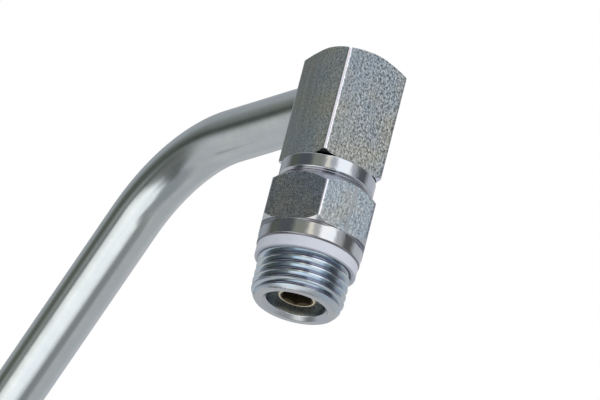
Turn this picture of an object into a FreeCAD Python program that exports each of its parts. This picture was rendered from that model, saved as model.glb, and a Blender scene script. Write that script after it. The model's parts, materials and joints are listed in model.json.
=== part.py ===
import FreeCAD, Part
import math
import os

# Swivel elbow with a bent tube. All sizes are in millimetres.
# +Z runs up the swivel's axis, from the male thread to the elbow block. The origin is the centre of the
# port face, where the sealing washer meets the machine. At rest the tube leaves the block along -X.

# Male port thread and its mouth
thread_diameter = 20.955
thread_length = 9.7
thread_lead = 2.1
thread_nose_diameter = 18.1
undercut_diameter = 18.4
mouth_chamfer = 0.9

# White washer that seals the port
washer_thickness = 2.6
washer_land = 0.87
washer_grip = 0.15
washer_edge = 0.35

# Flange, hexagon and collar of the adapter
flange_overhang = 0.2
flange_height = 3.8
flange_chamfer = 0.35
hexagon_width = 23.5
hexagon_height = 11.4
hexagon_turn = 26.85
hexagon_lower_slope = 30.0
hexagon_upper_slope = 45.0
groove_height = 2.05
collar_diameter = 21.5
collar_height = 3.25
collar_chamfer = 0.25

# Spindle: a hollow screw that holds the block and turns in the adapter
journal_diameter = 11.0
spindle_bore = 5.8
spindle_head_height = 3.0
spindle_head_chamfer = 0.5
spindle_nose_rim = 0.68
spindle_nose_recess = 2.0
spindle_nose_chamfer = 0.3
socket_width = 6.35
socket_turn = 26.85
socket_depth = 6.5
socket_countersink = 0.55
spigot_length = 3.4
spindle_thread_diameter = 10.0
spindle_thread_length = 6.1
spindle_tip_chamfer = 0.6

# Bearing bushes and thrust washers
bush_wall = 0.75
bush_length = 4.5
lower_bush_flange_reach = 0.3
upper_bush_flange_reach = 1.45
bush_flange_thickness = 0.7
bearing_recess = 0.95
head_washer_thickness = 0.8
lower_shoulder = 2.0

# Seals
seal_height = 1.5
backup_thickness = 0.9
gland_depth = 1.2
gland_play = 0.1
pressure_gland_start = 7.7
guard_gland_start = 12.9
dust_seal_width = 1.4

# Elbow block, cut from square bar
block_width = 17.0
block_height = 26.95
block_gap = 0.4
block_bevel = 0.7
block_top_slope = 24.0
block_foot_slope = 24.0
block_foot_rise = 0.42
riser_bore = 7.0
cross_bore = 8.0
drill_point = 118.0
tube_drop = 9.3
socket_seat = 4.5
thread_run_out = 0.5

# Tube, bent once in the plane of the swivel's axis
tube_diameter = 12.0
tube_wall = 1.5
first_leg = 52.5
second_leg = 72.0
bend_angle = 51.8
bend_radius = 40.0
tube_deburr = 0.35
braze_leg = 1.3

# Clearances
running_clearance = 0.05
seating_clearance = 0.03
braze_clearance = 0.05
running_gap = 0.05
port_entry_clearance = 0.1
mouth_clearance = 0.1
head_washer_clearance = 0.2
spindle_head_clearance = 0.25
dust_seal_clearance = 0.3
recess_clearance = 0.1

# Levels along the axis, from the port face up
flange_level = washer_thickness
hexagon_level = flange_level + flange_height
groove_level = hexagon_level + hexagon_height
collar_level = groove_level + groove_height
adapter_top = collar_level + collar_height
block_foot = adapter_top + block_gap
block_top = block_foot + block_height
tube_level = block_top - tube_drop
head_washer_top = lower_shoulder - bush_flange_thickness - running_gap
spindle_head_top = head_washer_top - head_washer_thickness
spindle_head_foot = spindle_head_top - spindle_head_height
spindle_end = spindle_nose_recess - thread_length
spigot_top = block_foot + spigot_length
spindle_top = spigot_top + spindle_thread_length
upper_seat = adapter_top - bearing_recess
upper_bush_foot = upper_seat - bush_length
block_washer_foot = upper_seat + bush_flange_thickness + running_gap

# Radii that mating pieces share
journal_radius = journal_diameter / 2
adapter_bore_radius = journal_radius + running_clearance
bush_bore_radius = journal_radius + running_clearance
bush_radius = bush_bore_radius + bush_wall
bush_pocket_radius = bush_radius + seating_clearance
gland_radius = journal_radius + running_clearance + gland_depth
gland_height = seal_height + 2 * backup_thickness + gland_play
lower_bush_flange_radius = bush_radius + lower_bush_flange_reach
upper_bush_flange_radius = bush_radius + upper_bush_flange_reach
mouth_radius = lower_bush_flange_radius + mouth_clearance
head_washer_radius = mouth_radius - head_washer_clearance
spindle_head_radius = mouth_radius - spindle_head_clearance
dust_seal_bore_radius = upper_bush_flange_radius + dust_seal_clearance
dust_seal_radius = dust_seal_bore_radius + dust_seal_width
recess_radius = dust_seal_radius + recess_clearance
socket_mouth_radius = socket_width / 2 + socket_countersink
spindle_nose_radius = socket_mouth_radius + spindle_nose_rim
thread_radius = thread_diameter / 2
washer_seat_radius = thread_radius + port_entry_clearance
washer_radius = washer_seat_radius + washer_land
flange_radius = washer_radius + flange_overhang


def tangent(degrees):
    """Tangent of an angle given in degrees."""
    return math.tan(math.radians(degrees))


def turned(points):
    """Solid of revolution about Z of a closed outline of (radius, level) points."""
    outline = [FreeCAD.Vector(radius, 0, level) for radius, level in points]
    face = Part.Face(Part.makePolygon(outline + outline[:1]))
    return face.revolve(FreeCAD.Vector(0, 0, 0), FreeCAD.Vector(0, 0, 1), 360)


def ring(inner_radius, outer_radius, foot, top):
    """Plain ring about Z."""
    return turned([(inner_radius, foot), (outer_radius, foot), (outer_radius, top), (inner_radius, top)])


def prism(sides, width, foot, top, turn):
    """Regular bar of the given width across its flats, with a corner at the angle turn."""
    corner_radius = width / 2 / math.cos(math.pi / sides)
    corners = []
    for index in range(sides + 1):
        angle = math.radians(turn + 360.0 * index / sides)
        corners.append(FreeCAD.Vector(corner_radius * math.cos(angle), corner_radius * math.sin(angle), foot))
    return Part.Face(Part.makePolygon(corners)).extrude(FreeCAD.Vector(0, 0, top - foot))


def along_tube_leg(shape):
    """Lay a shape made about Z along the tube's first leg: its Z becomes -X, at the tube's level."""
    laid = shape.copy()
    laid.rotate(FreeCAD.Vector(0, 0, 0), FreeCAD.Vector(0, 1, 0), -90)
    laid.translate(FreeCAD.Vector(0, 0, tube_level))
    return laid


def gland_ring(start, floor_radius):
    """Room that one seal with its two back-up rings takes in a wall, as a ring to cut."""
    return ring(adapter_bore_radius - running_clearance, floor_radius, start, start + gland_height)


def adapter_outside():
    """Thread, undercut, flange, relief groove and collar as one turned shape."""
    collar_radius = collar_diameter / 2
    flat_radius = hexagon_width / 2
    # The groove's two flanks both rise at 45 degrees and meet at its root
    root_level = (flat_radius - collar_radius + groove_level + collar_level) / 2
    root_radius = collar_radius - (collar_level - root_level)
    return turned([
        (0, -thread_length),
        (thread_nose_diameter / 2, -thread_length),
        (thread_radius, thread_lead - thread_length),
        (thread_radius, 0),
        (undercut_diameter / 2, 0),
        (undercut_diameter / 2, flange_level),
        (flange_radius - flange_chamfer, flange_level),
        (flange_radius, flange_level + flange_chamfer),
        (flange_radius, hexagon_level),
        (flat_radius, hexagon_level),
        (flat_radius, groove_level),
        (root_radius, root_level),
        (collar_radius, collar_level),
        (collar_radius, adapter_top - collar_chamfer),
        (collar_radius - collar_chamfer, adapter_top),
        (0, adapter_top),
    ])


def adapter_hexagon():
    """Hexagon bar whose corners are turned off by a cone at each end."""
    flat_radius = hexagon_width / 2
    corner_radius = flat_radius / math.cos(math.pi / 6)
    beyond = 1.1 * corner_radius
    lower_rise = (beyond - flat_radius) * tangent(hexagon_lower_slope)
    upper_drop = (beyond - flat_radius) * tangent(hexagon_upper_slope)
    envelope = turned([
        (0, hexagon_level),
        (flat_radius, hexagon_level),
        (beyond, hexagon_level + lower_rise),
        (beyond, groove_level - upper_drop),
        (flat_radius, groove_level),
        (0, groove_level),
    ])
    bar = prism(6, hexagon_width, hexagon_level, groove_level, hexagon_turn)
    return bar.common(envelope)


def adapter_bore():
    """Stepped bore: mouth, bush pockets, the land between them with its glands, and the recess on top."""
    lower_pocket_top = lower_shoulder + bush_length
    below = -thread_length
    bore = turned([
        (0, below),
        (mouth_radius + mouth_chamfer, below),
        (mouth_radius, below + mouth_chamfer),
        (mouth_radius, lower_shoulder),
        (bush_pocket_radius, lower_shoulder),
        (bush_pocket_radius, lower_pocket_top),
        (adapter_bore_radius, lower_pocket_top),
        (adapter_bore_radius, upper_bush_foot),
        (bush_pocket_radius, upper_bush_foot),
        (bush_pocket_radius, upper_seat),
        (recess_radius, upper_seat),
        (recess_radius, adapter_top),
        (0, adapter_top),
    ])
    pressure_gland = gland_ring(pressure_gland_start, gland_radius)
    guard_gland = gland_ring(guard_gland_start, gland_radius)
    return bore.fuse([pressure_gland, guard_gland])


def threaded_adapter():
    """Fixed half of the swivel, in one piece."""
    outside = adapter_outside().fuse(adapter_hexagon()).removeSplitter()
    return outside.cut(adapter_bore())


def port_washer():
    """White sealing washer, gripped in the thread's undercut and bevelled inside to clear the thread."""
    inner_radius = undercut_diameter / 2 + washer_grip
    entry_rise = washer_seat_radius - inner_radius
    return turned([
        (washer_seat_radius, 0),
        (washer_radius - washer_edge, 0),
        (washer_radius, washer_edge),
        (washer_radius, washer_thickness - washer_edge),
        (washer_radius - washer_edge, washer_thickness),
        (inner_radius, washer_thickness),
        (inner_radius, entry_rise),
    ])


def flanged_bush(flange_radius_outside, sleeve_foot, sleeve_top, flange_foot, flange_top):
    """Bearing bush: a thin sleeve with a flange at one end."""
    sleeve = ring(bush_bore_radius, bush_radius, sleeve_foot, sleeve_top)
    flange = ring(bush_bore_radius, flange_radius_outside, flange_foot, flange_top)
    return sleeve.fuse(flange).removeSplitter()


def lower_bush():
    """Bush at the thread end, its flange on the adapter's inner shoulder."""
    flange_foot = lower_shoulder - bush_flange_thickness
    sleeve_top = lower_shoulder + bush_length - seating_clearance
    return flanged_bush(lower_bush_flange_radius, flange_foot, sleeve_top, flange_foot, lower_shoulder)


def upper_bush():
    """Bush under the block, its flange on the floor of the collar's recess."""
    flange_top = upper_seat + bush_flange_thickness
    sleeve_foot = upper_bush_foot + seating_clearance
    return flanged_bush(upper_bush_flange_radius, sleeve_foot, flange_top, upper_seat, flange_top)


def seal_stack(start, inner_radius, outer_radius):
    """Lower back-up ring, O-ring as squeezed in its gland, and upper back-up ring."""
    seal_foot = start + gland_play / 2 + backup_thickness
    seal_top = seal_foot + seal_height
    lower = ring(inner_radius, outer_radius, seal_foot - backup_thickness, seal_foot)
    seal = ring(inner_radius, outer_radius, seal_foot, seal_top)
    upper = ring(inner_radius, outer_radius, seal_top, seal_top + backup_thickness)
    return lower, seal, upper


def dust_seal():
    """Soft ring in the collar's recess that closes the running gap under the block."""
    return ring(dust_seal_bore_radius, dust_seal_radius, upper_seat, block_foot - running_gap)


def thrust_washer(outer_radius, foot, top):
    """Hard washer round the spindle's journal."""
    return ring(journal_radius + seating_clearance, outer_radius, foot, top)


def spindle_gland_levels():
    """Foot and top of the gland round the spindle's spigot, in the middle of the spigot."""
    height = seal_height + backup_thickness + gland_play
    foot = (block_foot + spigot_top - height) / 2
    return foot, foot + height


def hollow_spindle():
    """Hollow screw: nose with key socket, head, journal, spigot with a gland and a threaded tip."""
    tip_radius = spindle_thread_diameter / 2
    bore_radius = spindle_bore / 2
    body = turned([
        (bore_radius, spindle_end),
        (spindle_nose_radius - spindle_nose_chamfer, spindle_end),
        (spindle_nose_radius, spindle_end + spindle_nose_chamfer),
        (spindle_nose_radius, spindle_head_foot),
        (spindle_head_radius - spindle_head_chamfer, spindle_head_foot),
        (spindle_head_radius, spindle_head_foot + spindle_head_chamfer),
        (spindle_head_radius, spindle_head_top),
        (journal_radius, spindle_head_top),
        (journal_radius, spigot_top),
        (tip_radius, spigot_top),
        (tip_radius, spindle_top - spindle_tip_chamfer),
        (tip_radius - spindle_tip_chamfer, spindle_top),
        (bore_radius, spindle_top),
    ])
    socket = prism(6, socket_width, spindle_end, spindle_end + socket_depth, socket_turn)
    countersink = turned([
        (0, spindle_end),
        (socket_mouth_radius, spindle_end),
        (socket_width / 2, spindle_end + socket_countersink),
        (0, spindle_end + socket_countersink),
    ])
    gland_foot, gland_top = spindle_gland_levels()
    gland = ring(journal_radius - gland_depth, journal_radius + gland_depth, gland_foot, gland_top)
    return body.cut([socket, countersink, gland])


def spindle_seals():
    """O-ring and back-up ring that close the spigot in the block's counterbore."""
    gland_foot, gland_top = spindle_gland_levels()
    inner_radius = journal_radius - gland_depth
    outer_radius = journal_radius + seating_clearance
    backup_foot = gland_foot + gland_play / 2
    backup_top = backup_foot + backup_thickness
    backup = ring(inner_radius, outer_radius, backup_foot, backup_top)
    seal = ring(inner_radius, outer_radius, backup_top, backup_top + seal_height)
    return backup, seal


def block_outside():
    """Square bar with bevelled long edges, its corners turned off by a shallow cone at each end."""
    bar = prism(4, block_width, block_foot, block_top, 45)
    long_edges = [edge for edge in bar.Edges if abs(edge.Vertexes[0].Z - edge.Vertexes[1].Z) > block_height / 2]
    bevelled = bar.makeChamfer(block_bevel, long_edges)
    flat_radius = block_width / 2
    beyond = 1.1 * flat_radius * math.sqrt(2)
    top_drop = (beyond - flat_radius) * tangent(block_top_slope)
    corner_radius = flat_radius * math.sqrt(2) - block_bevel / math.sqrt(2)
    foot_radius = corner_radius - block_foot_rise / tangent(block_foot_slope)
    foot_rise = (beyond - foot_radius) * tangent(block_foot_slope)
    envelope = turned([
        (0, block_foot),
        (foot_radius, block_foot),
        (beyond, block_foot + foot_rise),
        (beyond, block_top - top_drop),
        (flat_radius, block_top),
        (0, block_top),
    ])
    return bevelled.common(envelope)


def drilled(radius, foot, top):
    """Blind drilled hole with the point that the drill leaves."""
    point = radius / tangent(drill_point / 2)
    return turned([(0, foot), (radius, foot), (radius, top), (0, top + point)])


def elbow_block():
    """Elbow block: spigot counterbore, tapped hole and riser from below, tube seat and cross bore."""
    spigot_radius = journal_radius + seating_clearance
    tapped_radius = spindle_thread_diameter / 2 + seating_clearance
    riser = drilled(riser_bore / 2, block_foot, tube_level + riser_bore / 2)
    spigot_seat = ring(0, spigot_radius, block_foot, spigot_top)
    tapped_hole = ring(0, tapped_radius, spigot_top, spindle_top + thread_run_out)
    face = block_width / 2
    seat_radius = tube_diameter / 2 + braze_clearance
    tube_seat = along_tube_leg(ring(0, seat_radius, face - socket_seat, face))
    cross = along_tube_leg(ring(0, cross_bore / 2, 0, face))
    return block_outside().cut([spigot_seat, tapped_hole, riser, tube_seat, cross])


def tube_path():
    """Centre line of the tube: first leg, bend and second leg."""
    face = block_width / 2
    start = FreeCAD.Vector(socket_seat - face, 0, tube_level)
    corner = FreeCAD.Vector(-face - first_leg, 0, tube_level)
    first_way = FreeCAD.Vector(-1, 0, 0)
    turn = math.radians(bend_angle)
    second_way = FreeCAD.Vector(-math.cos(turn), 0, -math.sin(turn))
    tangent_length = bend_radius * math.tan(turn / 2)
    bend_start = corner - first_way * tangent_length
    bend_end = corner + second_way * tangent_length
    centre = bend_start - FreeCAD.Vector(0, 0, bend_radius)
    half = turn / 2
    bend_middle = centre + FreeCAD.Vector(-math.sin(half), 0, math.cos(half)) * bend_radius
    tube_end = corner + second_way * second_leg
    edges = [
        Part.LineSegment(start, bend_start).toShape(),
        Part.Arc(bend_start, bend_middle, bend_end).toShape(),
        Part.LineSegment(bend_end, tube_end).toShape(),
    ]
    return Part.Wire(edges), start, tube_end, second_way


def swept(path, start, radius):
    """Round bar along the tube's path."""
    circle = Part.makeCircle(radius, start, FreeCAD.Vector(-1, 0, 0))
    return path.makePipeShell([Part.Wire(circle)], True, False)


def bent_tube():
    """Tube with a square-cut, deburred free end."""
    path, start, tube_end, way = tube_path()
    outer_radius = tube_diameter / 2
    inner_radius = outer_radius - tube_wall
    tube = swept(path, start, outer_radius).cut(swept(path, start, inner_radius))
    rims = []
    for edge in tube.Edges:
        if edge.Closed and (edge.CenterOfMass - tube_end).Length < 0.01:
            rims.append(edge)
    return tube.makeChamfer(tube_deburr, rims)


def braze_fillet():
    """Hollow fillet of braze metal round the tube where it enters the block."""
    face = block_width / 2
    inner = tube_diameter / 2
    outer = inner + braze_leg
    waist = braze_leg * (1 - math.sqrt(0.5))
    return along_tube_leg(turned([
        (inner, face),
        (outer, face),
        (inner + waist, face + waist),
        (inner, face + braze_leg),
    ]))


def all_pieces():
    """Every piece of the assembly by its node name."""
    pieces = {
        "threaded_adapter": threaded_adapter(),
        "port_washer": port_washer(),
        "lower_bush": lower_bush(),
        "upper_bush": upper_bush(),
        "dust_seal": dust_seal(),
        "hollow_spindle": hollow_spindle(),
        "head_thrust_washer": thrust_washer(head_washer_radius, spindle_head_top, head_washer_top),
        "block_thrust_washer": thrust_washer(upper_bush_flange_radius, block_washer_foot, block_foot),
        "elbow_block": elbow_block(),
        "bent_tube": bent_tube(),
        "braze_fillet": braze_fillet(),
    }
    seal_bore = journal_radius + running_clearance
    for name, start in (("pressure", pressure_gland_start), ("guard", guard_gland_start)):
        lower, seal, upper = seal_stack(start, seal_bore, gland_radius)
        pieces[name + "_backup_lower"] = lower
        pieces[name + "_seal"] = seal
        pieces[name + "_backup_upper"] = upper
    backup, seal = spindle_seals()
    pieces["spindle_backup"] = backup
    pieces["spindle_seal"] = seal
    return pieces


def main():
    """Write one file per piece."""
    os.makedirs("parts", exist_ok=True)
    for name, shape in all_pieces().items():
        shape.exportStep(os.path.join("parts", name + ".step"))
        print(name, "valid" if shape.isValid() else "NOT VALID", len(shape.Solids), round(shape.Volume, 2))


main()
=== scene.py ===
"""Swivel elbow with a bent tube: its small forms, its finishes and a plain studio.

Lengths are in metres in the frame's own axes. +Z runs up the swivel's axis, from the male thread to the
elbow block, and at rest the tube leaves the block along -X.
"""

import json
import math

import bmesh
import bpy
import numpy as np
from bpy.props import FloatProperty, FloatVectorProperty, PointerProperty
from mathutils import Matrix, Vector


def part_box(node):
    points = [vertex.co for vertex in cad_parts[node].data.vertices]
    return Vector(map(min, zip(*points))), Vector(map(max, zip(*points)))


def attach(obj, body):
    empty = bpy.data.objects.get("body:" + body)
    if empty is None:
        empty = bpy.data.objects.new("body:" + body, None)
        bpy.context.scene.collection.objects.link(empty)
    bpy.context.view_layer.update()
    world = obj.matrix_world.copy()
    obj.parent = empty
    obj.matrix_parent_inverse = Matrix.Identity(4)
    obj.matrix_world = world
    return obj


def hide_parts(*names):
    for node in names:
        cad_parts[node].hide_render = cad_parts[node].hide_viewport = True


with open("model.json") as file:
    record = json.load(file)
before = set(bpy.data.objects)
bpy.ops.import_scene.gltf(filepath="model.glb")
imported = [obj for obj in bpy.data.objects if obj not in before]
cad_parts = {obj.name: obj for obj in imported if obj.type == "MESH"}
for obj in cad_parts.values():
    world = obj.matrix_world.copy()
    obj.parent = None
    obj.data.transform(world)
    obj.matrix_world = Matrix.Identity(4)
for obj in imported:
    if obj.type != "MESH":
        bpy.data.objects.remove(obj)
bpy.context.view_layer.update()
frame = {"nodes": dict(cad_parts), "record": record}

bl_info = {
    "name": "Swivel elbow with bent tube",
    "version": (1, 0, 0),
    "blender": (4, 5, 0),
    "location": "View3D > Sidebar > Swivel elbow",
    "description": "Builds the surfaces, finishes and studio of a hydraulic swivel elbow",
    "category": "Add Mesh",
}

MM = 0.001
TURN = 2 * math.pi


# Measures taken from the frame

def ring_size(node):
    """Inner radius, outer radius, foot and top of a node that is turned about Z."""
    mesh = frame["nodes"][node].data
    flat = np.empty(len(mesh.vertices) * 3, np.float32)
    mesh.vertices.foreach_get("co", flat)
    points = flat.reshape(-1, 3).astype(float)
    radius = np.hypot(points[:, 0], points[:, 1])
    return float(radius.min()), float(radius.max()), float(points[:, 2].min()), float(points[:, 2].max())


def mount_radius(name):
    """Stated radius of a mount."""
    for mount in frame["record"]["mounts"]:
        if mount["name"] == name:
            return mount["dims"]["r_mm"] * MM
    raise RuntimeError("the record has no mount named " + name)


ADAPTER_LOW, ADAPTER_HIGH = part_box("threaded_adapter")
BLOCK_LOW, BLOCK_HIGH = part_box("elbow_block")
TUBE_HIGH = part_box("bent_tube")[1]
WASHER_BORE, WASHER_RADIUS, WASHER_FOOT, WASHER_TOP = ring_size("port_washer")
THREAD_RADIUS = mount_radius("port_thread")
TUBE_RADIUS = mount_radius("tube_end")
TUBE_LEVEL = TUBE_HIGH.z - TUBE_RADIUS


# Sizes and colours that a user would change

def length(name, description, millimetres):
    """A length, given here in millimetres and shown in the scene's units."""
    return FloatProperty(name=name, description=description, default=millimetres * MM, min=0, precision=5,
                         subtype="DISTANCE", unit="LENGTH")


def angle(name, description, degrees):
    """An angle, given here in degrees."""
    return FloatProperty(name=name, description=description, default=math.radians(degrees),
                         subtype="ANGLE", unit="ROTATION")


def colour(name, description, *default):
    """A linear colour."""
    return FloatVectorProperty(name=name, description=description, default=default, size=3, min=0, max=1,
                               subtype="COLOR")


class AdapterSizes(bpy.types.PropertyGroup):
    """Sizes of the threaded adapter."""
    thread_pitch: length("Thread pitch", "Distance from one turn of the thread to the next", 1.814)
    thread_phase: length("Thread start", "Height of a thread root below the hexagon's near corner", 0.934)
    lead_length: length("Lead", "Length over which the thread's end is rounded off", 3.3)
    nose_radius: length("Nose radius", "Radius of the end face, at the foot of the lead", 9.05)
    nose_edge: length("Nose edge", "Height of the plain edge between the thread and the end face", 0.3)
    undercut_radius: length("Undercut", "Radius of the undercut that holds the washer", 9.2)
    mouth_radius: length("Mouth", "Radius of the wide bore at the thread end", 6.7)
    mouth_chamfer: length("Mouth chamfer", "Chamfer of the mouth", 0.9)
    flange_radius: length("Flange radius", "Radius of the turned flange over the washer", 11.6475)
    flange_height: length("Flange height", "Height of the flange", 3.8)
    flange_chamfer: length("Flange chamfer", "Chamfer at the flange's foot", 0.35)
    hexagon_flat: length("Hexagon", "Distance from the axis to a flat of the hexagon", 11.75)
    hexagon_height: length("Hexagon height", "Height of the hexagon", 11.4)
    hexagon_turn: angle("Hexagon turn", "Angle of one corner of the hexagon from +X", 26.85)
    die_line: angle("Die line", "Direction of the line that the drawing die left on one flat", 2.7)
    lower_turn: length("Lower turning", "Radius where the hexagon's lower cone starts", 12.5)
    lower_slope: angle("Lower slope", "Slope of the hexagon's lower cone", 44.5)
    upper_slope: angle("Upper slope", "Slope of the hexagon's upper cone", 45.0)
    groove_height: length("Groove height", "Height of the groove between hexagon and collar", 2.05)
    collar_radius: length("Collar radius", "Radius of the collar under the block", 10.75)
    collar_chamfer: length("Collar chamfer", "Chamfer at the collar's top", 0.25)
    bush_wall: length("Bush wall", "Wall thickness of a bush", 0.75)
    bush_flange: length("Bush flange", "Thickness of a bush's flange", 0.7)
    seating: length("Seating clearance", "Clearance of a bush in its pocket", 0.03)
    gland_play: length("Gland play", "Spare height of a gland over its three rings", 0.1)
    recess_clearance: length("Recess clearance", "Room round the dust seal in the collar's top", 0.1)


class BlockSizes(bpy.types.PropertyGroup):
    """Sizes of the elbow block."""
    bevel: length("Bevel", "Width that the bevel takes off each face", 0.62)
    bevel_turn: angle("Bevel turn", "How far the bevels lean from the diagonal", 8.0)
    top_slope: angle("Top slope", "Slope of the cone that turns off the upper corners", 24.0)
    foot_slope: angle("Foot slope", "Slope of the cone that turns off the lower corners", 24.0)
    foot_rise: length("Foot rise", "How far that cone lifts the lower corners", 0.42)
    seat_depth: length("Seat depth", "How far the tube goes into the block", 4.5)
    seat_clearance: length("Seat clearance", "Clearance round the tube in its seat", 0.05)
    spindle_room: length("Spindle room", "Clearance round the spindle in the block", 0.03)
    cross_bore: length("Cross bore", "Radius of the passage behind the tube", 4.0)
    riser_bore: length("Riser bore", "Radius of the passage up from the spindle", 3.5)
    braze_leg: length("Braze leg", "Leg of the braze fillet round the tube", 1.3)


class TubeSizes(bpy.types.PropertyGroup):
    """Sizes of the bent tube."""
    wall: length("Wall", "Wall thickness", 1.5)
    first_leg: length("First leg", "From the block's face to the corner of the centre line", 52.5)
    second_leg: length("Second leg", "From that corner to the free end", 72.0)
    bend_angle: angle("Bend", "Angle that the tube turns through", 51.8)
    bend_radius: length("Bend radius", "Radius of the centre line in the bend", 40.0)
    deburr: length("Deburr", "Bevel on both rims of the free end", 0.35)
    flattening: FloatProperty(name="Flattening", description="How far the bend squeezes the round section",
                              default=0.012, min=0, max=0.1, subtype="FACTOR")


class SpindleSizes(bpy.types.PropertyGroup):
    """Sizes of the hollow spindle."""
    journal_radius: length("Journal", "Radius of the journal that turns in the bushes", 5.5)
    nose_radius: length("Nose", "Radius of the nose inside the mouth", 4.405)
    nose_chamfer: length("Nose chamfer", "Chamfer of the nose", 0.3)
    head_height: length("Head", "Height of the head", 3.0)
    head_chamfer: length("Head chamfer", "Chamfer of the head", 0.5)
    socket_flat: length("Socket", "Distance from the axis to a flat of the key socket", 3.175)
    socket_turn: angle("Socket turn", "Angle of one corner of the key socket from +X", 26.85)
    socket_depth: length("Socket depth", "Depth of the key socket", 6.5)
    countersink: length("Countersink", "Width of the cone at the socket's mouth", 0.55)
    tip_radius: length("Tip", "Radius of the tip that screws into the block", 5.0)
    tip_length: length("Tip length", "Length of the tip", 6.1)
    tip_chamfer: length("Tip chamfer", "Chamfer of the tip", 0.6)
    gland_depth: length("Gland depth", "Depth of the seal's gland in the spigot", 1.2)
    gland_play: length("Gland play", "Spare height of the gland at each end of its rings", 0.05)


class FinishColours(bpy.types.PropertyGroup):
    """Base colours of the finishes."""
    zinc: colour("Zinc", "Bright zinc plating on turned steel", 0.60, 0.62, 0.64)
    bar_zinc: colour("Bar zinc", "Zinc plating on the drawn bar", 0.58, 0.605, 0.61)
    # Painted highlight: brighter, lilac-tinted zinc that stands in for the highlights on the milled edges
    edge_zinc: colour("Edge zinc", "Zinc plating on the milled edges", 0.82, 0.81, 0.93)
    # Painted shade: near-black zinc that stands in for the shade under the block, on its flat underside and
    # foot cone
    gap_zinc: colour("Gap zinc", "Dark, dull zinc plating in the running gap", 0.05, 0.05, 0.055)
    bore_zinc: colour("Bore zinc", "Zinc plating inside the bore", 0.62, 0.68, 0.76)
    # Painted shade: darker zinc in the corners round flange and hexagon, where shade falls
    foot_zinc: colour("Foot zinc", "Duller zinc plating round flange and hexagon", 0.29, 0.285, 0.32)
    thread_zinc: colour("Thread zinc", "Zinc plating on the cut thread", 0.60, 0.66, 0.70)
    tube_zinc: colour("Tube zinc", "Zinc plating on the drawn tube", 0.655, 0.69, 0.68)
    washer_white: colour("Washer white", "White sealing plastic", 0.65, 0.69, 0.77)
    gold: colour("Spindle gold", "Pale gold of the spindle", 0.78, 0.70, 0.50)
    # Painted shade: near-black gold inside the key socket and the spindle's bore, where shade falls
    socket_gold: colour("Socket", "Oiled and shaded gold inside the key socket", 0.10, 0.08, 0.05)
    bronze: colour("Bronze", "Bearing bronze of the bushes", 0.60, 0.42, 0.24)
    hard_steel: colour("Hard steel", "Ground steel of the thrust washers", 0.50, 0.50, 0.52)
    braze: colour("Braze", "Braze metal under the plating", 0.62, 0.60, 0.56)
    rubber: colour("Rubber", "Black rubber of the seals", 0.03, 0.03, 0.03)
    backup: colour("Back-up ring", "White plastic of the back-up rings", 0.90, 0.90, 0.88)


class StudioSettings(bpy.types.PropertyGroup):
    """Camera and light."""
    camera_azimuth: angle("Camera azimuth", "Direction from the part to the camera, from +X", -33.08)
    camera_drop: angle("Camera drop", "How far the camera looks up from below", 23.0)
    camera_roll: angle("Camera roll", "Lean of the picture", 14.5)
    camera_distance: length("Camera distance", "From the aim point to the camera", 2500)
    picture_width: length("Picture width", "Width of the picture at the part", 132.02)
    aim_right: length("Aim right", "Aim point from the origin, to the right across the axis", 4.72)
    aim_up: length("Aim up", "Aim point from the origin, up along the axis", 14.09)
    floor_level: length("Floor level", "How far the floor lies under the port face", 250)
    floor_radius: length("Floor radius", "Radius of the floor", 3000)
    tent_radius: length("Tent radius", "Radius of the ball of panels that the metal mirrors", 1600)


# Surfaces

WELD = 1e-7
RING_COLUMNS = 145


def column_angles(sides, corner, per_side, crowding):
    """Angles round the axis, closed, crowded towards the corners of a regular polygon.

    Within each side the angle runs from corner to corner as s minus crowding times sin(2 pi s) over 2 pi,
    so steps near a corner are shorter by the factor one minus crowding.
    """
    s = np.arange(sides * per_side + 1) / per_side
    return corner + TURN / sides * (s - crowding * np.sin(TURN * s) / TURN)


def soft_polygon(angles, normals, distances, sharpness):
    """Radius of a polygon with slightly rounded corners.

    Each side gives cos(angle - normal) over its distance, and one over the radius is the power mean sum of
    those terms: (sum of term ** sharpness) ** (1 / sharpness). Away from a corner one term rules alone.
    """
    terms = np.cos(angles[:, None] - normals[None, :]) / distances[None, :]
    terms = np.maximum(terms, 0)
    highest = terms.max(axis=1)
    return 1 / (highest * ((terms / highest[:, None]) ** sharpness).sum(axis=1) ** (1 / sharpness))


def soft_regular(angles, sides, corner, flat, sharpness):
    """Radius of a regular polygon with slightly rounded corners, one of them at the angle corner."""
    normals = corner + TURN / (2 * sides) + np.arange(sides) * TURN / sides
    return soft_polygon(angles, normals, np.full(sides, flat), sharpness)


def outline_of(corners, columns):
    """Corner list of (radius, level) pairs, each a number or one value per column, as one array."""
    rows = [np.stack(np.broadcast_arrays(radius, level, np.zeros(columns))[:2], axis=-1)
            for radius, level in corners]
    return np.stack(rows)


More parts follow.
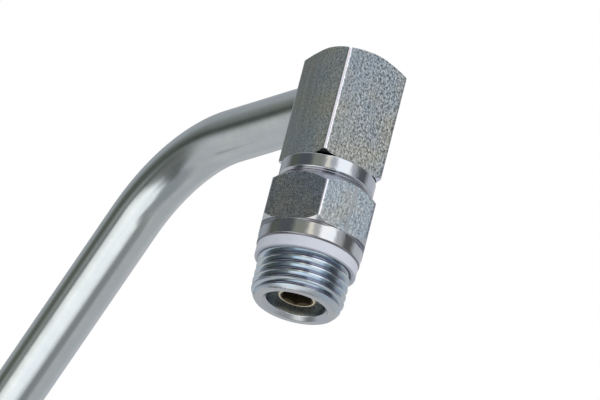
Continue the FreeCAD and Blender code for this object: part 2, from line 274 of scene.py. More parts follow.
def softened(corners, softness, steps=4):
    """Round the inner corners of an outline and say which side each row of faces belongs to.

    A round starts and ends at the distance softness from its corner, at most 0.45 of the shorter side, and
    is the parabola between these two points whose control point is the corner. A row on each side of it, at
    twice the softness, keeps the shading of the flats flat.
    """
    middle = corners[1:-1]
    to_before = corners[:-2] - middle
    to_after = corners[2:] - middle
    tiny = 1e-12
    before = np.maximum(np.linalg.norm(to_before, axis=-1, keepdims=True), tiny)
    after = np.maximum(np.linalg.norm(to_after, axis=-1, keepdims=True), tiny)
    wanted = np.asarray(softness)[:, None, None]
    reach = np.minimum(wanted, 0.45 * np.minimum(before, after))
    start = middle + to_before / before * reach
    end = middle + to_after / after * reach
    t = np.linspace(0, 1, steps + 1)[None, :, None, None]
    arcs = (1 - t) ** 2 * start[:, None] + 2 * t * (1 - t) * middle[:, None] + t ** 2 * end[:, None]
    first = middle + to_before / before * np.minimum(2 * wanted, 0.48 * before)
    last = middle + to_after / after * np.minimum(2 * wanted, 0.48 * after)
    rounds = np.concatenate([first[:, None], arcs, last[:, None]], axis=1)
    outline = np.concatenate([corners[:1], rounds.reshape((-1,) + corners.shape[1:]), corners[-1:]])
    # Half of a round's rows of faces go with the side before, the rest with the side after
    sides = len(corners) - 1
    per_side = np.full(sides, 3 + steps)
    per_side[0] = 2 + steps // 2
    per_side[-1] = 2 + steps - steps // 2
    return outline, np.repeat(np.arange(sides), per_side)


def about_axis(outline, angles):
    """Points of an outline carried round Z: (radius cos, radius sin, level)."""
    radius = outline[..., 0]
    level = np.broadcast_to(outline[..., 1], radius.shape)
    return np.stack([radius * np.cos(angles), radius * np.sin(angles), level], axis=-1)


def grid_quads(rows, columns):
    """Corner numbers of every quad of a grid, as (rows - 1, columns - 1, 4)."""
    index = np.arange(rows * columns).reshape(rows, columns)
    return np.stack([index[:-1, :-1], index[:-1, 1:], index[1:, 1:], index[1:, :-1]], axis=-1)


class Patch:
    """A grid of points with a finish number for each quad, and which quads to keep."""

    def __init__(self, points, finish=0, keep=None, uv=None, grain=1.0):
        rows, columns = points.shape[:2]
        finish = np.asarray(finish)
        if finish.ndim == 1:
            finish = finish[:, None]
        self.points = points.reshape(-1, 3)
        self.quads = grid_quads(rows, columns)
        self.finish = np.broadcast_to(finish, (rows - 1, columns - 1))
        self.keep = np.ones((rows - 1, columns - 1), bool) if keep is None else keep
        self.uv = np.zeros((rows * columns, 2)) if uv is None else uv.reshape(-1, 2)
        self.grain = np.broadcast_to(grain, (rows, columns)).reshape(-1)


def welded(quads, finish, points):
    """Merge points within a tenth of a micron: a quad whose corners merge becomes a triangle, or goes.

    Returns the numbers of the points that stay, the new number of every point, the old corner numbers of
    the quads and of the triangles, and the finish of each face.
    """
    # The shift keeps levels and radii in whole tenths of a micron away from the edges of the keys
    shift = 0.37
    keys = np.floor(points / WELD + shift).astype(np.int64)
    _, first, inverse = np.unique(keys, axis=0, return_index=True, return_inverse=True)
    inverse = inverse.reshape(-1)
    merged = inverse[quads]
    same_next = merged == np.roll(merged, -1, axis=1)
    across = (merged[:, 0] == merged[:, 2]) | (merged[:, 1] == merged[:, 3])
    whole = ~same_next.any(axis=1) & ~across
    one_less = (same_next.sum(axis=1) == 1) & ~across
    # Drop the corner that merged with the next one
    triangles = quads[one_less][~same_next[one_less]].reshape(-1, 3)
    return first, inverse, (quads[whole], triangles), np.concatenate([finish[whole], finish[one_less]])


def placed(name, data):
    """Object of a mesh, lamp or camera, linked to the scene."""
    made = bpy.data.objects.new(name, data)
    bpy.context.scene.collection.objects.link(made)
    return made


def piece_from(name, patches, finish_names, body, node, sharp=35.0):
    """Mesh object of the welded patches, riding on a body and standing for one CAD node."""
    starts = np.cumsum([0] + [len(p.points) for p in patches])
    points, uv, grain = (np.concatenate([getattr(patch, part) for patch in patches])
                         for part in ("points", "uv", "grain"))
    quads = np.concatenate([p.quads[p.keep] + start for p, start in zip(patches, starts)])
    finish = np.concatenate([p.finish[p.keep] for p in patches])
    first, inverse, corner_sets, face_finish = welded(quads, finish, points)
    mesh = bpy.data.meshes.new(name)
    quads, triangles = (inverse[numbers].tolist() for numbers in corner_sets)
    mesh.from_pydata(points[first].tolist(), [], quads + triangles)
    mesh.polygons.foreach_set("material_index", face_finish.astype(np.int32))
    corners = np.concatenate([c.reshape(-1) for c in corner_sets])
    layer = mesh.uv_layers.new(name="surface")
    layer.data.foreach_set("uv", uv[corners].astype(np.float32).reshape(-1))
    attribute = mesh.attributes.new("grain", "FLOAT", "POINT")
    attribute.data.foreach_set("value", grain[first].astype(np.float32))
    shell = bmesh.new()
    shell.from_mesh(mesh)
    bmesh.ops.recalc_face_normals(shell, faces=shell.faces[:])
    shell.to_mesh(mesh)
    shell.free()
    mesh.shade_smooth()
    mesh.set_sharp_from_angle(angle=math.radians(sharp))
    for made in finishes(*finish_names):
        mesh.materials.append(made)
    piece = placed(name, mesh)
    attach(piece, body)
    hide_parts(node)


# Finishes

class Nodes:
    """Short way to fill a node tree: a socket given for an input is joined to it, a value is set on it."""

    def __init__(self, owner, output):
        owner.use_nodes = True
        self.owner = owner
        self.tree = owner.node_tree
        self.tree.nodes.clear()
        self.output = self.add(output)

    def add(self, kind, inputs=None, **settings):
        """Add a node of a kind, set its settings and fill its inputs."""
        node = self.tree.nodes.new("ShaderNode" + kind)
        for key, value in settings.items():
            setattr(node, key, value)
        for key, value in (inputs or {}).items():
            if isinstance(value, bpy.types.NodeSocket):
                self.tree.links.new(value, node.inputs[key])
            else:
                node.inputs[key].default_value = value
        return node

    def close(self, node):
        """Join a node to the output and give the finished material or world."""
        self.tree.links.new(node.outputs[0], self.output.inputs["Surface"])
        return self.owner

    def math(self, operation, first, second):
        """Result of one sum."""
        return self.add("Math", {0: first, 1: second}, operation=operation).outputs[0]

    def plus(self, first, second):
        """First plus second."""
        return self.math("ADD", first, second)

    def times(self, first, second):
        """First times second."""
        return self.math("MULTIPLY", first, second)

    def attribute(self, name, output="Fac"):
        """Value of an attribute of the mesh."""
        return self.add("Attribute", attribute_name=name).outputs[output]

    def noise(self, vector, waves, detail=2.0, roughness=0.5):
        """Noise from 0 to 1 about 0.5, with so many waves per metre."""
        inputs = {"Vector": vector, "Scale": waves, "Detail": detail, "Roughness": roughness}
        return self.add("TexNoise", inputs).outputs["Fac"]

    def between(self, value, low, high, to_low=0.0, to_high=1.0):
        """Value carried from one range to another, without leaving it."""
        inputs = {"Value": value, "From Min": low, "From Max": high, "To Min": to_low, "To Max": to_high}
        return self.add("MapRange", inputs).outputs["Result"]

    def mixed(self, factor, first, second):
        """Colour between two colours."""
        return self.add("Mix", {0: factor, 6: first, 7: second}, data_type="RGBA").outputs[2]

    def bump(self, height, depth, normal=None):
        """Normal of a surface raised by height times depth, over an earlier normal if there is one."""
        inputs = {"Height": height, "Distance": depth}
        if normal is not None:
            inputs["Normal"] = normal
        return self.add("Bump", inputs).outputs["Normal"]

    def principled(self, tone, rough, normal, metallic=1.0):
        """Finish the material with one principled shader, a metal unless said otherwise."""
        inputs = {"Base Color": tone, "Metallic": metallic, "Roughness": rough, "Normal": normal}
        return self.close(self.add("BsdfPrincipled", inputs))


def new_finish(name):
    """Nodes of a new material, and the object coordinates of the surface."""
    nodes = Nodes(bpy.data.materials.new(name), "OutputMaterial")
    return nodes, nodes.add("TexCoord").outputs["Object"]


def scaled(base, scales):
    """Four-part colour: each part of the base times its scale."""
    return tuple(part * scale for part, scale in zip(base, scales)) + (1.0,)


def cloudy(nodes, noise, low, high, base, first, second):
    """Base colour times the scales first where the noise is at low, and times second where it is at high."""
    return nodes.mixed(nodes.between(noise, low, high), scaled(base, first), scaled(base, second))


def lathe_lines(nodes, place, waves):
    """Noise that only changes with the distance from Z and with the level, as a turning tool leaves it."""
    x, y, z = nodes.add("SeparateXYZ", {"Vector": place}).outputs
    across = nodes.math("SQRT", nodes.plus(nodes.times(x, x), nodes.times(y, y)), 0.0)
    ring = nodes.add("CombineXYZ", {"X": across, "Z": z}).outputs[0]
    return nodes.noise(ring, waves, 3.0, 0.6)


def turned_zinc(name, base, roughness, line_depth, sway=0.0):
    """Bright plated steel as turned: fine lines round the axis, faint clouds, flats that sway a little."""
    nodes, place = new_finish(name)
    cloud = nodes.noise(place, 160.0, 3.0, 0.55)
    grit = nodes.noise(place, 2400.0, 4.0, 0.6)
    tone = cloudy(nodes, cloud, 0.35, 0.65, base, (0.93, 0.97, 1.03), (1.05, 1.02, 0.97))
    uneven = nodes.plus(grit, nodes.times(cloud, 0.6))
    rough = nodes.between(uneven, 0.5, 1.1, roughness * 0.75, roughness * 1.35)
    normal = nodes.bump(lathe_lines(nodes, place, 2600.0), line_depth)
    normal = nodes.bump(grit, line_depth * 0.6, normal)
    if sway:
        normal = nodes.bump(nodes.noise(place, 420.0), sway, normal)
    return nodes.principled(tone, rough, normal)


def bar_zinc(name, base, roughness, depth):
    """Plated bar as drawn: pebbled and speckled where the attribute grain is high, with lines along Z."""
    nodes, place = new_finish(name)
    grain = nodes.attribute("grain")
    pebble = nodes.noise(place, 1750.0, 3.0, 0.66)
    patches = nodes.noise(place, 420.0)
    cloud = nodes.noise(place, 95.0, 3.0, 0.5)
    x, y, z = nodes.add("SeparateXYZ", {"Vector": place}).outputs
    drawn = nodes.add("CombineXYZ", {"X": x, "Y": y, "Z": nodes.times(z, 0.03)}).outputs[0]
    lines = nodes.noise(drawn, 2200.0, 3.0, 0.6)
    height = nodes.plus(nodes.times(pebble, grain), nodes.times(lines, 0.22))
    height = nodes.plus(height, nodes.times(nodes.times(patches, grain), 0.5))
    cool_warm = cloudy(nodes, cloud, 0.38, 0.62, base, (0.90, 0.99, 1.08), (1.06, 1.03, 0.93))
    speckle = nodes.times(nodes.between(pebble, 0.34, 0.66, -0.75, 0.75), grain)
    smooth = nodes.between(grain, 0.3, 0.8, 1.0, 0.15)
    streaks = nodes.times(nodes.between(lines, 0.3, 0.7, -0.14, 0.14), smooth)
    # Painted light and shade: the coarser a face, the lighter its colour, from 14 percent darker to 16
    # percent lighter
    level = nodes.plus(nodes.plus(speckle, streaks), nodes.between(grain, 0.3, 1.0, 0.86, 1.16))
    tone = nodes.add("VectorMath", {0: cool_warm, "Scale": level}, operation="SCALE").outputs[0]
    rough = nodes.between(pebble, 0.3, 0.7, roughness * 1.25, roughness * 0.8)
    return nodes.principled(tone, rough, nodes.bump(height, depth))


def cut_thread(name, base):
    """Plated thread: bluish, with chatter along the cut.

    The mesh attribute read below is the height over the root, from 0 to 1, and the colour darkens towards the
    root as painted shade; it is 2 on the rounded end, which is cut more roughly.
    """
    nodes, place = new_finish(name)
    height = nodes.attribute("grain")
    grit = nodes.noise(place, 1500.0, 4.0, 0.6)
    tone = cloudy(nodes, nodes.noise(place, 260.0), 0.35, 0.65, base, (0.90, 0.97, 1.04), (1.06, 1.03, 1.0))
    # Painted shade: the colour falls to about half towards the thread's roots
    tone = nodes.mixed(nodes.between(height, 0.05, 0.36), scaled(base, (0.46, 0.44, 0.54)), tone)
    rough = nodes.plus(nodes.between(grit, 0.3, 0.7, 0.10, 0.18), nodes.between(height, 1.2, 1.8, 0.0, 0.26))
    return nodes.principled(tone, rough, nodes.bump(grit, 5e-6))


def tube_zinc(name, base):
    """Plated tube: satin, with fine draw lines along the tube and a faint mottle."""
    nodes, place = new_finish(name)
    surface = nodes.add("UVMap", uv_map="surface").outputs["UV"]
    stretched = nodes.add("Mapping", {"Vector": surface, "Scale": (1.0, 0.035, 1.0)}).outputs[0]
    lines = nodes.noise(stretched, 1500.0, 4.0, 0.65)
    streaks = nodes.noise(stretched, 340.0, 3.0, 0.55)
    mottle = nodes.noise(place, 230.0, 4.0, 0.6)
    tone = cloudy(nodes, streaks, 0.3, 0.7, base, (0.86, 0.89, 0.93), (1.06, 1.05, 1.02))
    tone = nodes.mixed(nodes.between(mottle, 0.35, 0.65, 0.0, 0.35), tone, scaled(base, (0.8, 0.85, 0.88)))
    rough = nodes.between(nodes.plus(streaks, mottle), 0.7, 1.3, 0.12, 0.24)
    normal = nodes.bump(lines, 2e-6)
    normal = nodes.bump(mottle, 10e-6, normal)
    normal = nodes.bump(nodes.noise(stretched, 120.0), 60e-6, normal)
    return nodes.principled(tone, rough, normal)


def moulded_plastic(name, base, roughness, depth):
    """Pale plastic, faintly uneven, with the lines of the mould's turning."""
    nodes, place = new_finish(name)
    cloud = nodes.noise(place, 300.0, 3.0, 0.5)
    tone = cloudy(nodes, cloud, 0.35, 0.65, base, (0.97, 0.96, 0.98), (1.02, 1.02, 1.02))
    rough = nodes.between(cloud, 0.3, 0.7, roughness * 0.85, roughness * 1.15)
    return nodes.principled(tone, rough, nodes.bump(lathe_lines(nodes, place, 1500.0), depth), 0.0)


def black_rubber(name, base):
    """Matt black rubber with a dusty bloom."""
    nodes, place = new_finish(name)
    grit = nodes.noise(place, 2200.0, 4.0, 0.6)
    bloom = nodes.noise(place, 350.0, 3.0, 0.5)
    tone = cloudy(nodes, bloom, 0.4, 0.7, base, (0.7, 0.7, 0.7), (1.6, 1.6, 1.6))
    return nodes.principled(tone, nodes.between(grit, 0.3, 0.7, 0.5, 0.7), nodes.bump(grit, 10e-6), 0.0)


def braze_metal(name, base):
    """Braze metal under plating: rippled and duller than the steel."""
    nodes, place = new_finish(name)
    ripple = nodes.noise(place, 900.0, 3.0, 0.5)
    grit = nodes.noise(place, 2600.0, 3.0, 0.6)
    tone = cloudy(nodes, ripple, 0.3, 0.7, base, (0.85, 0.86, 0.9), (1.05, 1.02, 0.96))
    normal = nodes.bump(grit, 8e-6, nodes.bump(ripple, 60e-6))
    return nodes.principled(tone, nodes.between(grit, 0.3, 0.7, 0.3, 0.48), normal)


# Each finish: its recipe, its colour, and for some its roughness and the depth of its lines and of its sway
RECIPES = {
    "mirror_zinc": (turned_zinc, "zinc", 0.10, 1.5e-6, 60e-6),
    "turned_zinc": (turned_zinc, "zinc", 0.24, 4e-6),
    "bore_zinc": (turned_zinc, "bore_zinc", 0.28, 8e-6),
    "foot_zinc": (turned_zinc, "foot_zinc", 0.25, 2e-6),
    "edge_zinc": (turned_zinc, "edge_zinc", 0.15, 1.5e-6),
    "gap_zinc": (turned_zinc, "gap_zinc", 0.5, 4e-6),
    "bar_zinc": (bar_zinc, "bar_zinc", 0.24, 65e-6),
    "thread_zinc": (cut_thread, "thread_zinc"),
    "tube_zinc": (tube_zinc, "tube_zinc"),
    "washer_white": (moulded_plastic, "washer_white", 0.42, 6e-6),
    "gold": (turned_zinc, "gold", 0.22, 4e-6),
    "socket_gold": (turned_zinc, "socket_gold", 0.5, 4e-6),
    "bronze": (turned_zinc, "bronze", 0.34, 5e-6),
    "hard_steel": (turned_zinc, "hard_steel", 0.2, 2e-6),
    "braze": (braze_metal, "braze"),
    "rubber": (black_rubber, "rubber"),
    "backup": (moulded_plastic, "backup", 0.38, 4e-6),
}
FINISHES = {}


def finishes(*names):
    """The made finishes of these names."""
    if not FINISHES:
        raise RuntimeError("make the finishes first")
    return [FINISHES[name] for name in names]


class FinishOperator(bpy.types.Operator):
    """Make every finish from the colours"""
    bl_idname = "swivel_elbow.finishes"
    bl_label = "Finishes"

    def execute(self, context):
        for name, (recipe, base, *amounts) in RECIPES.items():
            FINISHES[name] = recipe(name, getattr(context.scene.swivel_finishes, base), *amounts)
        return {"FINISHED"}


# The threaded adapter

def thread_height(along, pitch):
    """Height of a 55 degree thread over its root.

    along is the distance from the middle of a root, between nothing and half a pitch. Near the root the
    height follows a circle of 0.1373 pitches, then a straight flank up to a flat crest.
    """
    half_angle = math.radians(27.5)
    rounding = 0.1373 * pitch
    reach = rounding * math.cos(half_angle)
    rise = rounding * (1 - math.sin(half_angle))
    depth = 2 * rise + (pitch / 2 - 2 * reach) / math.tan(half_angle)
    root = rounding - np.sqrt(np.maximum(rounding ** 2 - along ** 2, 0))
    flank = rise + (along - reach) / math.tan(half_angle)
    return np.where(along < reach, root, np.minimum(flank, depth)), depth


def lead_radius(level, foot, sizes):
    """Radius of the rounded thread end.

    An arc leaves the crest line at the lead's start and comes down to the nose radius at the foot.
    """
    drop = THREAD_RADIUS - sizes.nose_radius
    arc_radius = (sizes.lead_length ** 2 + drop ** 2) / (2 * drop)
    along = np.clip(foot + sizes.lead_length - level, 0, sizes.lead_length)
    return THREAD_RADIUS - arc_radius + np.sqrt(arc_radius ** 2 - along ** 2)


def threaded_radius(level, angles, foot, sizes, near):
    """Radius of the threaded part: the helical thread or the lead, whichever is lower."""
    turns = (level - sizes.thread_phase) / sizes.thread_pitch - (angles - near) / TURN
    along = np.abs(turns - np.round(turns)) * sizes.thread_pitch
    height, depth = thread_height(along, sizes.thread_pitch)
    cut = THREAD_RADIUS - depth + height
    lead = lead_radius(level, foot, sizes)
    blend = 0.03 * MM
    lower = np.minimum(cut, lead)
    return lower - blend * np.log1p(np.exp(-np.abs(cut - lead) / blend))


def thread_patch(angles, foot, top, sizes, near):
    """Grid of the thread whose rows follow the helix.

    Row k runs at foot + pitch (k / rows per turn + angle / full turn), so that its place in the thread's
    section stays the same all round, and with 24 rows two of them run along the crest's edges. What would
    lie past the foot or the top is drawn in to it.
    """
    per_turn = 24
    turns = math.ceil((top - foot) / sizes.thread_pitch) + 1
    rows = np.arange(-per_turn, turns * per_turn + 1) / per_turn
    share_of_turn = (angles - angles[0]) / TURN
    phase = (foot - sizes.thread_phase) / sizes.thread_pitch - (angles[0] - near) / TURN
    start = foot - (phase - math.floor(phase)) * sizes.thread_pitch
    level = start + sizes.thread_pitch * (rows[:, None] + share_of_turn[None, :])
    level = np.clip(level, foot, top)
    radius = threaded_radius(level, angles[None, :], ADAPTER_LOW.z, sizes, near)
    return about_axis(np.stack([radius, level], axis=-1), angles)


def bore_corners(sizes):
    """Bore of the adapter from the top down: bush pockets, land with its two glands, mouth and end face."""
    land, _, lower_foot, lower_top = ring_size("lower_bush")
    upper_foot = ring_size("upper_bush")[2] - sizes.seating
    gland = ring_size("pressure_seal")[1] + sizes.seating
    sleeve = land + sizes.bush_wall + sizes.seating
    shoulder = lower_foot + sizes.bush_flange
    foot = ADAPTER_LOW.z
    _, seal_radius, seat, _ = ring_size("dust_seal")
    recess = seal_radius + sizes.recess_clearance
    corners = [(recess, ADAPTER_HIGH.z), (recess, seat), (sleeve, seat), (sleeve, upper_foot),
               (land, upper_foot)]
    for name in ("guard", "pressure"):
        low = ring_size(name + "_backup_lower")[2] - sizes.gland_play / 2
        high = ring_size(name + "_backup_upper")[3] + sizes.gland_play / 2
        corners += [(land, high), (gland, high), (gland, low), (land, low)]
    return corners + [
        (land, lower_top + sizes.seating),
        (sleeve, lower_top + sizes.seating),
        (sleeve, shoulder),
        (sizes.mouth_radius, shoulder),
        (sizes.mouth_radius, foot + sizes.mouth_chamfer),
        (sizes.mouth_radius + sizes.mouth_chamfer, foot),
    ]


ADAPTER_FINISHES = ("turned_zinc", "mirror_zinc", "thread_zinc", "bar_zinc", "bore_zinc", "foot_zinc",
                    "edge_zinc")


def adapter_patches(sizes):
    """Skin of the adapter: bore and end face, thread, and the outside up to the collar's top."""
    turned, mirror, cut, bar, dull, plated, edge = range(len(ADAPTER_FINISHES))
    near = sizes.hexagon_turn - TURN / 6
    angles = column_angles(6, sizes.hexagon_turn, per_side=36, crowding=0.85)
    columns = len(angles)
    foot = ADAPTER_LOW.z
    lowest_thread = foot + sizes.nose_edge
    end_ring = threaded_radius(np.full(columns, lowest_thread), angles, foot, sizes, near)
    inside = bore_corners(sizes) + [(sizes.nose_radius, foot), (end_ring, lowest_thread)]
    # The last three sides are the mouth's chamfer, the end face and the plain edge up to the thread
    softness = np.full(len(inside) - 2, 0.05 * MM)
    softness[-3:] = 0.12 * MM
    softness[-1] = 0.2 * MM
    outline, side = softened(outline_of(inside, columns), softness)
    bore = Patch(about_axis(outline, angles), np.where(side < len(inside) - 4, dull, turned))

    thread_points = thread_patch(angles, lowest_thread, 0.0, sizes, near)
    depth = thread_height(np.zeros(1), sizes.thread_pitch)[1]
    reach = np.hypot(thread_points[..., 0], thread_points[..., 1])
    # Height over the root, from which the thread finish paints shade into the roots
    over_root = np.clip((reach - THREAD_RADIUS + depth) / depth, 0, 1)
    lead_depth, crest_share, lead_grain = 0.06 * MM, 0.97, 2.0
    on_lead = lead_radius(thread_points[..., 2], foot, sizes) - reach < lead_depth
    on_lead &= over_root < crest_share
    thread = Patch(thread_points, cut, grain=np.where(on_lead, lead_grain, over_root))

    flat = sizes.hexagon_flat
    hexagon = soft_regular(angles, 6, sizes.hexagon_turn, flat, sharpness=90)
    hexagon_level = WASHER_TOP + sizes.flange_height
    groove_level = hexagon_level + sizes.hexagon_height
    collar_level = groove_level + sizes.groove_height
    top = ADAPTER_HIGH.z
    root_level = (flat - sizes.collar_radius + groove_level + collar_level) / 2
    root_radius = sizes.collar_radius - (collar_level - root_level)
    lower_cone = np.maximum(hexagon - sizes.lower_turn, 0) * math.tan(sizes.lower_slope)
    upper_cone = np.maximum(hexagon - flat, 0) * math.tan(sizes.upper_slope)
    # Each corner's radius, level and softness in mm, and the finish of the side that follows it. The finish
    # plated is
    # painted shade: darker zinc on the flange's foot chamfer and top, the hexagon's upper cone and the
    # groove's lower slope
    outside = [
        (threaded_radius(np.zeros(columns), angles, foot, sizes, near), 0.0, 0, turned),
        (sizes.undercut_radius, 0.0, 0, turned),
        (sizes.undercut_radius, WASHER_TOP, 0, turned),
        (sizes.flange_radius - sizes.flange_chamfer, WASHER_TOP, 0.1, plated),
        (sizes.flange_radius, WASHER_TOP + sizes.flange_chamfer, 0.14, mirror),
        (sizes.flange_radius, hexagon_level, 0.12, plated),
        (np.minimum(hexagon, sizes.lower_turn), hexagon_level, 0.05, mirror),
        (hexagon, hexagon_level + lower_cone, 0.05, bar),
        (hexagon, groove_level - upper_cone, 0.1, plated),
        (flat, groove_level, 0.08, plated),
        (root_radius, root_level, 0.12, mirror),
        (sizes.collar_radius, collar_level, 0.14, mirror),
        (sizes.collar_radius, top - sizes.collar_chamfer, 0.1, mirror),
        (sizes.collar_radius - sizes.collar_chamfer, top, 0.1, turned),
        (inside[0][0], top, 0, turned),
    ]
    softness = np.array([corner[2] for corner in outside[1:-1]]) * MM
    outline, side = softened(outline_of([corner[:2] for corner in outside], columns), softness)
    by_side = np.array([corner[3] for corner in outside[:-1]])
    quad_finish = np.repeat(by_side[side][:, None], columns - 1, axis=1)
    # On the hexagon's flats the corners get a painted highlight, and the drawing die's line is bright
    on_flats = by_side[side] == bar
    corner_band = 0.07 * MM
    on_corner = (hexagon[1:] + hexagon[:-1]) / 2 > hexagon.max() - corner_band
    middle = (angles[1:] + angles[:-1]) / 2
    from_die_line = np.abs((middle - sizes.die_line + TURN / 2) % TURN - TURN / 2)
    quad_finish[np.ix_(on_flats, on_corner)] = edge
    quad_finish[np.ix_(on_flats, from_die_line < np.diff(angles) / 2)] = mirror
    outer = Patch(about_axis(outline, angles), quad_finish, grain=0.7)
    return [bore, thread, outer]


class AdapterOperator(bpy.types.Operator):
    """Build the threaded adapter with its thread, flange, hexagon, groove and collar"""
    bl_idname = "swivel_elbow.adapter"
    bl_label = "Threaded adapter"

    def execute(self, context):
        piece_from("threaded_adapter_turned", adapter_patches(context.scene.swivel_adapter), ADAPTER_FINISHES,
                   "adapter", "threaded_adapter")
        return {"FINISHED"}


# Turned rings

def turned_ring(name, corners, softness, finish_name, body, node):
    """Ring about Z from a closed outline of corners, each rounded by one softness."""
    angles = np.linspace(0, TURN, RING_COLUMNS)
    # The outline starts and ends in the middle of its last side, so that every corner can be rounded
    middle = tuple((np.array(corners[-1]) + np.array(corners[0])) / 2)
    closed = outline_of([middle] + corners + [middle], RING_COLUMNS)
    outline, _ = softened(closed, np.full(len(corners), softness), steps=5)
    piece_from(name, [Patch(about_axis(outline, angles))], (finish_name,), body, node)


class WasherOperator(bpy.types.Operator):
    """Build the white sealing washer under the flange"""
    bl_idname = "swivel_elbow.washer"
    bl_label = "Port washer"

    def execute(self, context):
        room, edge = 0.03 * MM, 0.22 * MM
        entry = THREAD_RADIUS + room
        corners = [
            (entry, WASHER_FOOT),
            (WASHER_RADIUS, WASHER_FOOT),
            (WASHER_RADIUS, WASHER_TOP),
            (WASHER_BORE, WASHER_TOP),
            (WASHER_BORE, WASHER_FOOT + entry - WASHER_BORE),
        ]
        turned_ring("port_washer_moulded", corners, edge, "washer_white", "adapter",
                    "port_washer")
        return {"FINISHED"}


class SealsOperator(bpy.types.Operator):
    """Build the dust seal and the three O-rings"""
    bl_idname = "swivel_elbow.seals"
    bl_label = "Seals"

    def execute(self, context):
        for node in ("dust_seal", "pressure_seal", "guard_seal", "spindle_seal"):
            bore, radius, foot, top = ring_size(node)
            corners = [(bore, foot), (radius, foot), (radius, top), (bore, top)]
            body = "elbow" if node == "spindle_seal" else "adapter"
            softness = 0.42 * (top - foot)
            turned_ring(node + "_ring", corners, softness, "rubber", body, node)
        return {"FINISHED"}


class InnerRingsOperator(bpy.types.Operator):
    """Give the bushes, thrust washers and back-up rings their finishes"""
    bl_idname = "swivel_elbow.inner_rings"
    bl_label = "Bushes and washers"

    def execute(self, context):
        for name, node in frame["nodes"].items():
            for part, finish_name in (("bush", "bronze"), ("thrust", "hard_steel"), ("backup", "backup")):
                if part in name:
                    node.data.materials.clear()
                    node.data.materials.append(finishes(finish_name)[0])
        return {"FINISHED"}


# The spindle

class SpindleOperator(bpy.types.Operator):
    """Build the hollow spindle with its key socket, head, journal and tip"""
    bl_idname = "swivel_elbow.spindle"
    bl_label = "Hollow spindle"

    def execute(self, context):
        sizes = context.scene.swivel_spindle
        bore, head, end, top = ring_size("hollow_spindle")
        angles = column_angles(6, sizes.socket_turn, per_side=20, crowding=0.8)
        socket = soft_regular(angles, 6, sizes.socket_turn, sizes.socket_flat, sharpness=120)
        mouth = sizes.socket_flat + sizes.countersink
        washer_foot = ring_size("head_thrust_washer")[2]
        head_foot = washer_foot - sizes.head_height
        spigot_top = top - sizes.tip_length
        gland_foot = ring_size("spindle_backup")[2] - sizes.gland_play
        gland_top = ring_size("spindle_seal")[3] + sizes.gland_play
        journal = sizes.journal_radius
        gland_floor = journal - sizes.gland_depth
        socket_end = end + sizes.socket_depth
        corners = [
            (bore, (socket_end + top) / 2),
            (bore, socket_end),
            (socket, socket_end),
            (socket, end + mouth - socket),
            (mouth, end),
            (sizes.nose_radius - sizes.nose_chamfer, end),
            (sizes.nose_radius, end + sizes.nose_chamfer),
            (sizes.nose_radius, head_foot),
            (head - sizes.head_chamfer, head_foot),
            (head, head_foot + sizes.head_chamfer),
            (head, washer_foot),
            (journal, washer_foot),
            (journal, gland_foot),
            (gland_floor, gland_foot),
            (gland_floor, gland_top),
            (journal, gland_top),
            (journal, spigot_top),
            (sizes.tip_radius, spigot_top),
            (sizes.tip_radius, top - sizes.tip_chamfer),
            (sizes.tip_radius - sizes.tip_chamfer, top),
            (bore, top),
            (bore, (socket_end + top) / 2),
        ]
        softness = np.full(len(corners) - 2, 0.05 * MM)
        outline, side = softened(outline_of(corners, len(angles)), softness)
        # The bore and the socket's floor, walls and countersink are the first four sides, painted dark as
        # shade
        patch = Patch(about_axis(outline, angles), np.where(side < 4, 1, 0))
        piece_from("hollow_spindle_turned", [patch], ("gold", "socket_gold"), "elbow",
                   "hollow_spindle")
        return {"FINISHED"}


# The elbow block

BLOCK_FINISHES = ("bar_zinc", "turned_zinc", "edge_zinc", "gap_zinc")


